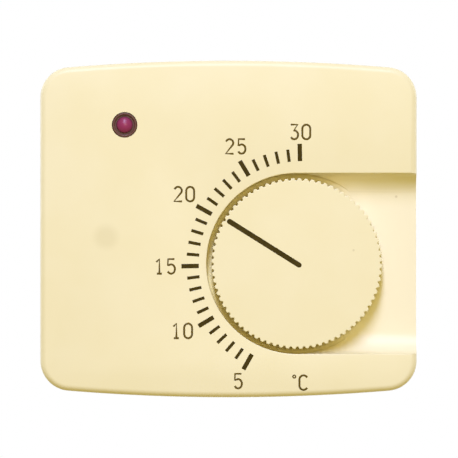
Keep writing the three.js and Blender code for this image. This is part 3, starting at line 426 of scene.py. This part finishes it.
# The recess cutter: flat floor between two coves, run out through the right edge.
def recessTool(thicker, rim):
    half = cover["pocketRadius"] - cover["cove"]
    reach = cover["cove"] + thicker
    straight = cover["pocketDepth"] - cover["cove"]
    x, z = dialAxis.x, dialAxis.z
    top = faceY - 2 * mm
    outer = half + reach + rim
    steps = []
    if rim > 0:
        steps.append(("line", (x, faceY, z - outer)))
        steps.append(("arc", (x, faceY + rim, z - outer), -90, 5))
    steps.append(("line", (x, faceY + straight, z - half - reach)))
    steps.append(("arc", (x, faceY + straight, z - half), 90, 24))
    steps.append(("line", (x, faceY + straight + reach, z + half)))
    steps.append(("arc", (x, faceY + straight, z + half), 90, 24))
    if rim > 0:
        steps.append(("line", (x, faceY + rim, z + outer - rim)))
        steps.append(("arc", (x, faceY + rim, z + outer), -90, 5))
    steps.append(("line", (x, top, z + outer)))
    tool = drawPath("recessTool", (x, top, z - outer), steps, (1, 0, 0))
    return pullOut(tool, (coverHigh.x - x + 5 * mm, 0, 0))  # well past the edge


# The pocket cutter: a shallow pan with a small fillet and the same rim.
def pocketTool():
    radius = cover["pocketRadius"]
    rim = cover["rim"]
    fillet = cover["pocketFillet"]
    top = faceY - 2 * mm
    x, z = dialAxis.x, dialAxis.z
    floorY = faceY + cover["pocketDepth"]
    steps = [
        ("line", (x + radius + rim, top, z)),
        ("line", (x + radius + rim, faceY, z)),
        ("arc", (x + radius + rim, faceY + rim, z), -90, 5),
        ("line", (x + radius, floorY - fillet, z)),
        ("arc", (x + radius - fillet, floorY - fillet, z), 90, 5),
        ("line", (x, floorY, z)),
    ]
    tool = drawPath("pocketTool", (x, top, z), steps, (0, 0, 1))
    return spinRound(tool, (x, 0, z), 160)


def makeCover():
    shell = plateSketch("frontCover", 0, faceY)
    pullOut(shell, (0, coverHigh.y - faceY, 0))
    roundRim(shell, faceY, cover["edge"], 8)
    floorY = faceY + cover["pocketDepth"]
    backY = floorY + cover["wall"]
    faceBackY = faceY + cover["faceWall"]
    overlap = cover["overlap"]
    dialX, dialZ = dialAxis.x, dialAxis.z
    hollow = pullOut(plateSketch("hollow", cover["wall"], faceBackY), (0, 30 * mm, 0))  # out through the back
    pocketOutside = cover["pocketRadius"] + cover["wall"]
    carve(hollow, rod("pocketWall", pocketOutside, faceY - mm, backY, dialX, dialZ, 96))
    carve(hollow, recessTool(cover["wall"], 0))
    carve(shell, hollow)

    screwX, screwZ = dialX + cover["screwFromDial"][0], dialZ + cover["screwFromDial"][1]
    lampX, lampZ = lensAt.x, lensAt.z
    pinX, pinZ = cover["supportPinAt"]
    bossBackY = backY + cover["screwBossDepth"]
    sleeveBackY = faceBackY + cover["lampSleeveDepth"]
    pinBackY = faceBackY + cover["supportPinDepth"]
    rootY = faceBackY - overlap
    carve(shell, rod("screwBoss", cover["screwBoss"], floorY + overlap, bossBackY, screwX, screwZ), "UNION")
    carve(shell, rod("lampSleeve", cover["lampSleeve"], rootY, sleeveBackY, lampX, lampZ), "UNION")
    carve(shell, rod("supportPin", cover["supportPin"], rootY, pinBackY, pinX, pinZ, 24), "UNION")
    skirtZ = coverHigh.z - cover["bow"] * (cover["ledgeX"] / coverHigh.x) ** 2 - cover["wall"]
    for x in (-cover["ledgeX"], cover["ledgeX"]):
        for side in (-1, 1):
            zs = sorted((side * (skirtZ - cover["ledgeReach"]), side * (skirtZ + cover["ledgeRoot"])))
            low = (x - cover["ledgeHalf"], cover["ledgeY"][0], zs[0])
            high = (x + cover["ledgeHalf"], cover["ledgeY"][1], zs[1])
            carve(shell, block("hookLedge", low, high), "UNION")

    past = 9 * mm  # how far a drill runs past the wall it starts in
    wellY = floorY + cover["screwWellDepth"]
    carve(shell, pocketTool())
    carve(shell, rod("screwWell", cover["screwWell"], floorY - mm, wellY, screwX, screwZ))
    carve(shell, rod("screwHole", cover["screwHole"], floorY - mm, backY + past, screwX, screwZ, 32))
    carve(shell, recessTool(0, cover["rim"]))
    carve(shell, rod("lampHole", cover["lampHole"], faceY - mm, faceY + past, lampX, lampZ, 64))
    carve(shell, rod("spindleHole", cover["spindleHole"], faceY, faceY + past, dialX, dialZ, 48))
    halfX, halfZ = cover["stopHalf"]
    stopZ = dialZ + cover["stopRadius"]
    low = (dialX - halfX, faceY + cover["stopFront"], stopZ - halfZ)
    high = (dialX + halfX, floorY + overlap, stopZ + halfZ)
    carve(shell, block("stopPost", low, high), "UNION")
    half = cover["ventWidth"] / 2
    reach = 50 * mm  # one slot tool cuts the top and the bottom
    for i in range(cover["ventCount"]):
        x = (i - (cover["ventCount"] - 1) / 2) * cover["ventPitch"]
        low = (x - half, faceY + cover["ventMargin"], -reach)
        high = (x + half, -cover["ventMargin"], reach)
        carve(shell, block("slot", low, high))
    editAll(shell)
    bpy.ops.mesh.remove_doubles(threshold=0.01 * mm)  # closes the hairline seams that the cuts leave
    bpy.ops.object.mode_set(mode="OBJECT")
    smoothByAngle(shell, 28)
    shell.data.materials.clear()
    shell.data.materials.append(coverPlastic)
    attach(shell, "casing")
    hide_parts("front_cover")


recessPaintedLight(coverPlastic)
sinkDentShade(coverPlastic)
fineSpecks(coverPlastic, 11 * mm, 0.35 * mm, 0.3)
makeCover()
print("cover made")


dial = {
    "radius": 17 * mm,
    "teeth": 80,
    "toothDepth": 0.44 * mm,
    "edge": 0.14 * mm,
    "faceWall": 1.6 * mm,
    "inside": 15.3 * mm,       # radius of the hollow behind the face
    "hub": 4.6 * mm,
    "bore": 3.3 * mm,
    "pointerWidth": 1.04 * mm,
    "pointerInner": -1.05 * mm,
    "pointerOuter": 16.35 * mm,
    "pointerAngle": 57.9,      # degrees counter-clockwise from straight up
    "pointerDepth": 0.12 * mm,
    "paintSink": 0.03 * mm,    # of the paint's face in its groove
    "paintRoot": 0.05 * mm,    # that it reaches into the groove's floor
}


# A bar with round ends from the dial's middle towards its edge, turned to where the dial points.
def pointerSlab(name, y0, y1):
    x, z = dialAxis.x, dialAxis.z
    half = dial["pointerWidth"] / 2
    inner = dial["pointerInner"] + half
    outer = dial["pointerOuter"] - half
    steps = [
        ("line", (x + half, y0, z + outer)),
        ("arc", (x, y0, z + outer), 180, 10),
        ("line", (x - half, y0, z + inner)),
        ("arc", (x, y0, z + inner), 180, 10),
    ]
    slab = drawPath(name, (x + half, y0, z + inner), steps, (0, -1, 0))
    pullOut(slab, (0, y1 - y0, 0))
    editAll(slab)
    turn = math.radians(dial["pointerAngle"])
    bpy.ops.transform.rotate(value=turn, orient_axis="Y", center_override=dialAxis)
    bpy.ops.object.mode_set(mode="OBJECT")
    return slab


def makeDial():
    perTooth = 5  # edge points to a tooth; the first two are pushed in
    count = dial["teeth"] * perTooth
    x, z = dialAxis.x, dialAxis.z
    wheel = rod("temperatureDial", dial["radius"], dialFaceY, dialBackY, x, z, count)
    for vertex in wheel.data.vertices:
        angle = math.degrees(math.atan2(vertex.co.z - z, vertex.co.x - x)) % 360
        vertex.select = round(angle / 360 * count) % perTooth in (0, 1)
    for edge in wheel.data.edges:
        edge.select = all(wheel.data.vertices[v].select for v in edge.vertices)
    for face in wheel.data.polygons:
        face.select = False
    pick(wheel)
    bpy.ops.object.mode_set(mode="EDIT")
    shrink = 1 - dial["toothDepth"] / dial["radius"]
    bpy.ops.transform.resize(value=(shrink, 1, shrink), center_override=(x, (dialFaceY + dialBackY) / 2, z))
    bpy.ops.object.mode_set(mode="OBJECT")
    roundRim(wheel, dialFaceY, dial["edge"], 2, keepPicked=True)  # the grooves between the teeth are selected
    hub, inside = dial["hub"], dial["inside"]
    roofY = dialFaceY + dial["faceWall"]
    steps = [
        ("line", (x + hub, dialBackY + mm, z)),
        ("line", (x + hub, roofY, z)),
        ("line", (x + inside, roofY, z)),
        ("line", (x + inside, dialBackY + mm, z)),
    ]
    hollow = drawPath("dialHollow", (x + inside, dialBackY + mm, z), steps, (0, 0, 1))
    carve(wheel, spinRound(hollow, (x, 0, z), 96))
    carve(wheel, rod("hubBore", dial["bore"], roofY, dialBackY + mm, x, z, 48))
    carve(wheel, pointerSlab("pointerGroove", dialFaceY - mm, dialFaceY + dial["pointerDepth"]))
    smoothByAngle(wheel, 20)
    wheel.data.materials.clear()
    wheel.data.materials.append(dialPlastic)
    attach(wheel, "dial")
    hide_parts("temperature_dial")
    paintBackY = dialFaceY + dial["pointerDepth"] + dial["paintRoot"]
    paint = pointerSlab("pointerPaint", dialFaceY + dial["paintSink"], paintBackY)
    paint.data.materials.append(inkBrown)
    smoothByAngle(paint, 30)
    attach(paint, "dial")


makeDial()
print("dial made")


scale = {
    "range": (5, 30),
    "centreX": 14.6 * mm,
    "centreZ": -7.0 * mm,
    "inner": 20.52 * mm,
    "outerSmall": 22.99 * mm,
    "outerBig": 23.98 * mm,
    "widthSmall": 0.62 * mm,
    "widthBig": 0.88 * mm,
    "degreesPerStep": 6,
    "warmestAngle": 1.0,        # the print sits a touch counter-clockwise
    "thickness": 0.03 * mm,
    "softEdge": 0.02 * mm,
    "digitHeight": 2.9 * mm,
    "digitWidth": 1.58 * mm,
    "digitPitch": 2.4 * mm,
    "stroke": 0.41 * mm,
    "letterAt": (14.95, -30.6),     # the C, in mm as the figures are
    "degreeAt": (13.1, -29.4),
    "degreeRadius": 0.28 * mm,
    "degreeStroke": 0.14 * mm,
    "degreeFlat": 0.2,              # thickness of the ring to its stroke
}

# Middle of each figure on the face, in mm from the plate's centre.
figurePlaces = {
    "30": (14.3, 19.33),
    "25": (1.42, 16.45),
    "20": (-8.84, 6.95),
    "15": (-12.63, -7.45),
    "10": (-9.24, -20.3),
    "5": (1.91, -30.3),
}


def joinUp(pieces, name, finish):
    startFresh()
    for piece in pieces:
        piece.select_set(True)
    bpy.context.view_layer.objects.active = pieces[0]
    bpy.ops.object.join()
    pieces[0].name = name
    pieces[0].data.materials.clear()
    pieces[0].data.materials.append(finish)
    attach(pieces[0], "casing")


def makeTicks():
    marks = []
    coldest, warmest = scale["range"]
    for degree in range(coldest, warmest + 1):
        big = degree % 5 == 0
        width = scale["widthBig"] if big else scale["widthSmall"]
        outer = scale["outerBig"] if big else scale["outerSmall"]
        x, z = scale["centreX"], scale["centreZ"]
        low = (x - width / 2, faceY - scale["thickness"], z + scale["inner"])
        high = (x + width / 2, faceY + scale["thickness"], z + outer)
        mark = block("mark", low, high)
        editAll(mark)
        bpy.ops.mesh.bevel(offset=scale["softEdge"], segments=1, affect="EDGES")
        bpy.ops.mesh.select_all(action="SELECT")
        angle = math.radians((warmest - degree) * scale["degreesPerStep"] + scale["warmestAngle"])
        centre = (x, faceY, z)
        bpy.ops.transform.rotate(value=angle, orient_axis="Y", center_override=centre)
        bpy.ops.object.mode_set(mode="OBJECT")
        marks.append(mark)
    joinUp(marks, "scaleMarks", inkBrown)


# One pen stroke of a figure, as a flat band of ink on the face.
def penStroke(points, x, z):
    places = [(x + u * scale["digitWidth"], faceY, z + v * scale["digitHeight"]) for u, v in points]
    line = drawPath("stroke", places[0], [("line", place) for place in places[1:]], (0, -1, 0))
    pick(line)
    bpy.ops.object.convert(target="CURVE")
    line.data.bevel_depth = scale["stroke"] / 2
    line.data.bevel_resolution = 2
    line.data.use_fill_caps = True
    bpy.ops.object.convert(target="MESH")
    editAll(line)
    flat = 2 * scale["thickness"] / scale["stroke"]
    bpy.ops.transform.resize(value=(1, flat, 1), center_override=(x, faceY, z))
    bpy.ops.object.mode_set(mode="OBJECT")
    return line


# Points along part of an oval, from one angle to another.
def sweep(cx, cy, rx, ry, a0, a1, count):
    turns = [math.radians(a0 + (a1 - a0) * i / count) for i in range(count + 1)]
    return [(cx + rx * math.cos(t), cy + ry * math.sin(t)) for t in turns]


# Each figure is drawn in a box one wide and one high about its middle.
def figurePoints(figure):
    if figure == "0":
        top = sweep(0, 0.22, 0.5, 0.28, 0, 180, 12)
        bottom = sweep(0, -0.22, 0.5, 0.28, 180, 360, 12)
        return [top + bottom + [(0.5, 0.22)]]
    if figure == "1":
        return [[(-0.34, 0.3), (0.04, 0.5), (0.04, -0.5)], [(-0.28, -0.5), (0.36, -0.5)]]
    if figure == "2":
        return [sweep(0, 0.24, 0.46, 0.26, 160, -30, 12) + [(-0.5, -0.5), (0.5, -0.5)]]
    if figure == "3":
        return [[(-0.45, 0.5), (0.42, 0.5), (-0.05, 0.1)] + sweep(0, -0.2, 0.48, 0.3, 85, -150, 14)]
    if figure == "5":
        return [[(0.42, 0.5), (-0.38, 0.5), (-0.42, 0.08)] + sweep(0, -0.18, 0.48, 0.32, 125, -150, 14)]
    return [sweep(0, 0.2, 0.52, 0.3, 30, 180, 10) + sweep(0, -0.2, 0.52, 0.3, 180, 330, 10)]  # the C


def makeFigures():
    strokes = []
    for text, (x, z) in figurePlaces.items():
        for i, figure in enumerate(text):
            shift = (i - (len(text) - 1) / 2) * scale["digitPitch"]
            for points in figurePoints(figure):
                strokes.append(penStroke(points, x * mm + shift, z * mm))
    x, z = scale["letterAt"]
    for points in figurePoints("C"):
        strokes.append(penStroke(points, x * mm, z * mm))
    startFresh()
    x, z = scale["degreeAt"]
    middle = (x * mm, faceY, z * mm)
    bpy.ops.mesh.primitive_torus_add(
        major_radius=scale["degreeRadius"], minor_radius=scale["degreeStroke"],
        major_segments=20, minor_segments=8, location=middle, rotation=(math.pi / 2, 0, 0))
    ring = bpy.context.object
    settle(ring)
    editAll(ring)
    bpy.ops.transform.resize(value=(1, scale["degreeFlat"], 1), center_override=middle)
    bpy.ops.object.mode_set(mode="OBJECT")
    joinUp(strokes + [ring], "scaleFigures", numeralInk)


makeTicks()
makeFigures()
print("scale printed")


lens = {
    "rim": 2.46 * mm,
    "collar": 0.5 * mm,        # width of the raised collar round the dome
    "collarDrop": 0.15 * mm,
    "dome": 1.62 * mm,
    "proud": 0.4 * mm,
    "trough": 0.55 * mm,
    "lip": 0.15 * mm,          # rounding of the collar
    "flange": 2.2 * mm,        # depth at which it narrows to the light guide
    "neck": 0.25 * mm,         # by this much, over neckLength
    "neckLength": 0.2 * mm,
}


def makeLens():
    x, z = lensAt.x, lensAt.z
    backY = lensHigh.y
    sag = lens["proud"] + lens["trough"] * 0.5
    bend = (lens["dome"] ** 2 + sag ** 2) / (2 * sag)
    sweepAngle = math.degrees(math.asin(lens["dome"] / bend))
    tipY = faceY - lens["proud"]
    collarY = faceY + lens["collarDrop"]
    lip, rim = lens["lip"], lens["rim"]
    inner = rim - lens["collar"]
    neckY = faceY + lens["flange"] + lens["neckLength"]
    steps = [
        ("arc", (x, tipY + bend, z), sweepAngle, 12),
        ("line", (x + lens["dome"], faceY + lens["trough"], z)),
        ("line", (x + inner, faceY + lens["trough"], z)),
        ("line", (x + inner, collarY + lip, z)),
        ("arc", (x + inner + lip, collarY + lip, z), 90, 4),
        ("line", (x + rim - lip, collarY, z)),
        ("arc", (x + rim - lip, collarY + lip, z), 90, 4),
        ("line", (x + rim, faceY + lens["flange"], z)),
        ("line", (x + rim - lens["neck"], neckY, z)),
        ("line", (x + rim - lens["neck"], backY, z)),
        ("line", (x, backY, z)),
    ]
    body = drawPath("indicatorLens", (x, tipY, z), steps, (0, 0, 1))
    spinRound(body, (x, 0, z), 48)
    smoothByAngle(body, 30)
    finish, tree, shader = newFinish("rubyLens")
    reach = addNode(tree, "ShaderNodeVectorMath", operation="LENGTH")
    tree.links.new(placeFrom(tree, (x, tipY, z)), reach.inputs[0])
    ramp = addNode(tree, "ShaderNodeValToRGB")
    tree.links.new(fade(tree, reach.outputs["Value"], 0, 2.4 * mm, smooth=False), ramp.inputs["Fac"])
    stops = ramp.color_ramp.elements
    stops[0].position, stops[0].color = 0.0, (0.34, 0.035, 0.13, 1)
    stops[1].position, stops[1].color = 1.0, (0.13, 0.05, 0.04, 1)
    stops.new(0.6).color = (0.27, 0.03, 0.11, 1)       # the dome's rim
    stops.new(0.74).color = (0.085, 0.012, 0.03, 1)    # painted shade in the trough inside the collar
    tree.links.new(ramp.outputs["Color"], shader.inputs["Base Color"])
    shader.inputs["Roughness"].default_value = 0.34
    shader.inputs["Specular IOR Level"].default_value = 0.35
    body.data.materials.append(finish)
    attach(body, "casing")
    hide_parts("indicator_lens")


makeLens()
print("lens made")


insideFinishes = {
    "base_plastic": mouldedPlastic(
        "basePlastic", (0.82, 0.77, 0.62), (0.80, 0.745, 0.595), rough=0.5, grain=0.15, drift=22),
    "led_red": mouldedPlastic("ledRed", (0.55, 0.03, 0.03), (0.45, 0.02, 0.02), rough=0.2, drift=2),
    "board_green": mouldedPlastic(
        "boardGreen", (0.03, 0.16, 0.05), (0.02, 0.11, 0.04), rough=0.35, drift=2),
    "resistor_tan": mouldedPlastic(
        "resistorTan", (0.45, 0.27, 0.12), (0.38, 0.22, 0.10), rough=0.45, drift=1),
    "diode_black": mouldedPlastic(
        "diodeBlack", (0.015, 0.015, 0.017), (0.03, 0.03, 0.03), rough=0.4, drift=1),
    "block_plastic": mouldedPlastic(
        "blockPlastic", (0.62, 0.58, 0.48), (0.57, 0.53, 0.43), rough=0.5, drift=5),
    "brass": stampedMetal("stampedBrass", (0.72, 0.52, 0.22), (0.60, 0.41, 0.16)),
    "screw_steel": stampedMetal("zincSteel", (0.62, 0.63, 0.64), (0.50, 0.51, 0.53)),
    "spring_steel": stampedMetal("springSteel", (0.42, 0.43, 0.45), (0.32, 0.33, 0.35)),
    "silver_contact": stampedMetal("contactSilver", (0.82, 0.81, 0.79), (0.70, 0.69, 0.67), rough=0.25),
    "magnet_ferrite": mouldedPlastic(
        "magnetFerrite", (0.045, 0.045, 0.05), (0.07, 0.07, 0.075), rough=0.6, drift=1),
    "holder_plastic": mouldedPlastic(
        "holderPlastic", (0.03, 0.03, 0.032), (0.04, 0.04, 0.042), rough=0.5, drift=3),
    "resistor_green": mouldedPlastic(
        "resistorGreen", (0.17, 0.22, 0.11), (0.13, 0.18, 0.09), rough=0.5, drift=1),
    "wire_blue": mouldedPlastic("wireBlue", (0.03, 0.10, 0.36), (0.025, 0.08, 0.30), rough=0.45, drift=2),
    "wire_brown": mouldedPlastic(
        "wireBrown", (0.10, 0.045, 0.02), (0.08, 0.035, 0.015), rough=0.45, drift=2),
    "bush_nylon": mouldedPlastic("bushNylon", (0.80, 0.79, 0.74), (0.76, 0.74, 0.69), rough=0.4, drift=3),
    "max_red": mouldedPlastic("limitRed", (0.46, 0.03, 0.02), (0.40, 0.025, 0.02), rough=0.4, drift=4),
    "min_blue": mouldedPlastic("limitBlue", (0.03, 0.10, 0.40), (0.025, 0.08, 0.34), rough=0.4, drift=4),
    "spindle_plastic": mouldedPlastic(
        "spindlePlastic", (0.74, 0.68, 0.52), (0.70, 0.64, 0.48), rough=0.4, drift=4),
    "lever_steel": stampedMetal("leverSteel", (0.58, 0.58, 0.57), (0.47, 0.47, 0.46), lines=(40, 1, 1)),
    "bimetal": stampedMetal("bimetalStrip", (0.55, 0.52, 0.46), (0.46, 0.42, 0.36), lines=(1, 30, 1)),
}
for row in frame["record"]["subparts"]:
    slot = row["material_slot"]
    if slot in insideFinishes:
        piece = nodes[row["node"]]
        piece.data.materials.clear()
        piece.data.materials.append(insideFinishes[slot])

print("inside pieces finished")


view = {
    "distance": 1.2,
    "across": 91.2336 * mm,    # width seen at the cover's face
    "sensor": 36.0,
    "x": 0.1 * mm,
    "z": 0.0,
}


def placeCamera():
    startFresh()
    place = (view["x"], faceY - view["distance"], view["z"])
    bpy.ops.object.camera_add(location=place, rotation=(math.pi / 2, 0, 0))
    camera = bpy.context.object
    camera.data.sensor_width = view["sensor"]
    camera.data.lens = view["sensor"] * view["distance"] / view["across"]
    camera.data.clip_start = 0.01
    bpy.context.scene.camera = camera
    bpy.context.scene.view_settings.view_transform = "Standard"


light = {
    "behind": 1.1,               # strength of the sky on the wall side
    "before": 0.25,              # and on the room side
    "warm": (1.0, 0.79, 0.16),   # tone of the room side
    "under": 1.6,                # how much of it comes from below
    "over": 1.5,                 # and from above
    "key": (-0.03, -0.74, 0.59),
    "keySize": (0.14, 0.6),
    "keyEnergy": 5.2,
    "keyTone": (1.0, 1.13, 1.72),
    "fill": (0.14, -1.15, 0.12),
    "fillSize": (0.3, 0.3),
    "fillEnergy": 2.35,
    "fillTone": (1.0, 0.88, 0.5),
    "side": (0.75, 0.3, 0.15),   # a pair, left and right, behind the wall plane
    "sideSize": (0.4, 0.4),
    "sideEnergy": 1.7,
    "sideTone": (0.88, 1.0, 1.35),
}


# A soft lamp that faces the thermostat.
def addArea(name, place, size, energy, tone):
    startFresh()
    bpy.ops.object.light_add(type="AREA", location=place)
    lamp = bpy.context.object
    lamp.name = name
    lamp.data.shape = "RECTANGLE"
    lamp.data.size, lamp.data.size_y = size
    lamp.data.energy = energy
    lamp.data.color = tone
    lamp.rotation_euler = (-Vector(place)).to_track_quat("-Z", "Y").to_euler()


# A plain sky, white on the wall side and warm on the room side.
def placeSky():
    world = bpy.data.worlds.new("studio")
    world.use_nodes = True
    tree = world.node_tree
    background = tree.nodes["Background"]
    toward = addNode(tree, "ShaderNodeTexCoord")
    parts = addNode(tree, "ShaderNodeSeparateXYZ")
    tree.links.new(toward.outputs["Generated"], parts.inputs["Vector"])
    wallSide = fade(tree, parts.outputs["Y"], 0.1, 0.7, smooth=False)
    tone = addNode(tree, "ShaderNodeMix", data_type="RGBA")
    tone.inputs["A"].default_value = (*light["warm"], 1)
    tone.inputs["B"].default_value = (1, 1, 1, 1)
    tree.links.new(wallSide, tone.inputs["Factor"])
    tree.links.new(tone.outputs["Result"], background.inputs["Color"])
    below, above = light["before"] * light["under"], light["before"] * light["over"]
    strength = addNode(tree, "ShaderNodeMix", data_type="FLOAT")
    strength.inputs["B"].default_value = light["behind"]
    tree.links.new(wallSide, strength.inputs["Factor"])
    roomSide = fade(tree, parts.outputs["Z"], -0.7, 0.8, below, above, smooth=False)
    tree.links.new(roomSide, strength.inputs["A"])
    tree.links.new(strength.outputs["Result"], background.inputs["Strength"])
    paper = addNode(tree, "ShaderNodeBackground")  # the sky is seen as plain white
    paper.inputs["Color"].default_value = (1, 1, 1, 1)
    seen = addNode(tree, "ShaderNodeLightPath")
    both = addNode(tree, "ShaderNodeMixShader")
    tree.links.new(seen.outputs["Is Camera Ray"], both.inputs["Fac"])
    tree.links.new(background.outputs["Background"], both.inputs[1])
    tree.links.new(paper.outputs["Background"], both.inputs[2])
    tree.links.new(both.outputs["Shader"], tree.nodes["World Output"].inputs["Surface"])
    bpy.context.scene.world = world


def placeLamps():
    addArea("keyLight", light["key"], light["keySize"], light["keyEnergy"], light["keyTone"])
    addArea("fillLight", light["fill"], light["fillSize"], light["fillEnergy"], light["fillTone"])
    for name, hand in (("sideLightRight", 1), ("sideLightLeft", -1)):
        x, y, z = light["side"]
        addArea(name, (hand * x, y, z), light["sideSize"], light["sideEnergy"], light["sideTone"])


ground = {"size": 3.0, "height": -0.2, "glow": 1.0}  # the glow keeps it as pale as the sky


def placeFloor():
    startFresh()
    bpy.ops.mesh.primitive_grid_add(
        x_subdivisions=8, y_subdivisions=8, size=ground["size"], location=(0, 0, ground["height"]))
    floor = bpy.context.object
    floor.name = "floor"
    settle(floor)
    paint = mouldedPlastic("floorPaint", (0.93, 0.94, 0.97), (0.91, 0.92, 0.95), rough=0.7, drift=60)
    shader = paint.node_tree.nodes["Principled BSDF"]
    shader.inputs["Emission Color"].default_value = (1, 1, 1, 1)
    shader.inputs["Emission Strength"].default_value = ground["glow"]
    floor.data.materials.append(paint)
    floor.visible_diffuse = floor.visible_glossy = False  # it shows, but throws no light on the thermostat


placeCamera()
placeSky()
placeLamps()
placeFloor()
print("camera, light and floor ready")
